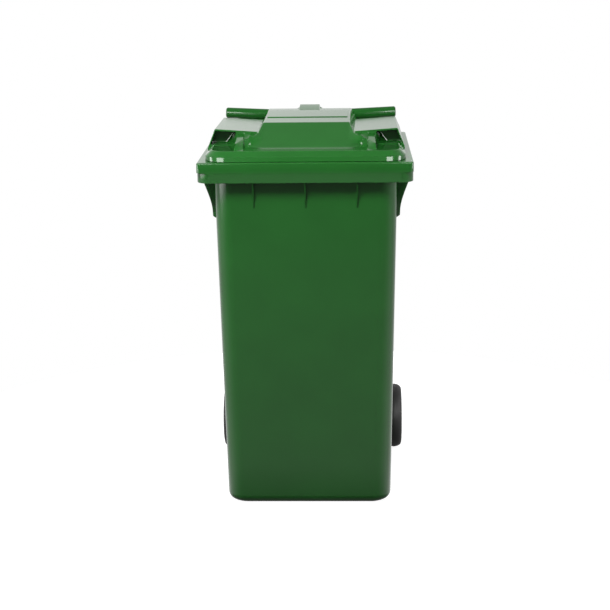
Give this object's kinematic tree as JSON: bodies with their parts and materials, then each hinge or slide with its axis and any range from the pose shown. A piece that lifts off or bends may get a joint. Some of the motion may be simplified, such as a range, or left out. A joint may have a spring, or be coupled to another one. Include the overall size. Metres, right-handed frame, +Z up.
{
  "type": "wheelie bin",
  "caption": "Tall two-wheeled moulded plastic waste bin with a ribbed rim, a hinged lid with a raised middle, rear hand grips and push-on rubber-tyred wheels on a steel axle.",
  "frame": {"origin": "on the ground, under the middle of the bin's bounding box", "axes": "+Z up, the front of the bin towards -Y, the wheels and hand grips towards +Y, +X to the right seen from the front"},
  "size_m": [0.58, 0.712, 1.09],
  "materials": {
    "green_plastic": "moulded polyethylene, semi-gloss, fine grain",
    "black_plastic": "moulded polypropylene, satin",
    "tyre_rubber": "solid rubber, matt",
    "buffer_rubber": "soft rubber, matt",
    "zinc_steel": "zinc-plated steel rod",
    "spring_steel": "spring wire",
    "yellow_acetal": "moulded acetal, smooth"
  },
  "bodies": {
    "bin": {"body": "green_plastic", "axle": "zinc_steel", "axle_spacer_left": "black_plastic", "axle_spacer_right": "black_plastic", "hinge_pin_left": "black_plastic", "hinge_pin_right": "black_plastic", "hinge_pin_plug_left": "black_plastic", "hinge_pin_plug_right": "black_plastic"},
    "lid": {"lid": "green_plastic", "lid_buffer_left": "buffer_rubber", "lid_buffer_right": "buffer_rubber"},
    "wheel_left": {"wheel_rim_left": "black_plastic", "tyre_left": "tyre_rubber", "hub_cap_left": "black_plastic", "lock_spring_left": "spring_steel"},
    "wheel_right": {"wheel_rim_right": "black_plastic", "tyre_right": "tyre_rubber", "hub_cap_right": "black_plastic", "lock_spring_right": "spring_steel"},
    "lock_pin_left": {"lock_pin_left": "yellow_acetal"},
    "lock_pin_right": {"lock_pin_right": "yellow_acetal"}
  },
  "joints": [
    {"name": "lid_hinge", "type": "hinge", "parent": "bin", "child": "lid", "pos_m": [0, 0.334, 1.046], "axis": [-1, 0, 0], "range_deg": [0, 270]},
    {"name": "wheel_left_spin", "type": "hinge", "parent": "bin", "child": "wheel_left", "pos_m": [-0.2555, 0.256, 0.1], "axis": [1, 0, 0], "continuous": true},
    {"name": "wheel_right_spin", "type": "hinge", "parent": "bin", "child": "wheel_right", "pos_m": [0.2555, 0.256, 0.1], "axis": [1, 0, 0], "continuous": true},
    {"name": "lock_pin_left_slide", "type": "slide", "parent": "wheel_left", "child": "lock_pin_left", "axis": [0, 0, 1], "range_m": [0, 0.004], "stiffness_N_per_m": 400, "springref_m": -0.004, "deforming": ["lock_spring_left"]},
    {"name": "lock_pin_right_slide", "type": "slide", "parent": "wheel_right", "child": "lock_pin_right", "axis": [0, 0, 1], "range_m": [0, 0.004], "stiffness_N_per_m": 400, "springref_m": -0.004, "deforming": ["lock_spring_right"]}
  ]
}
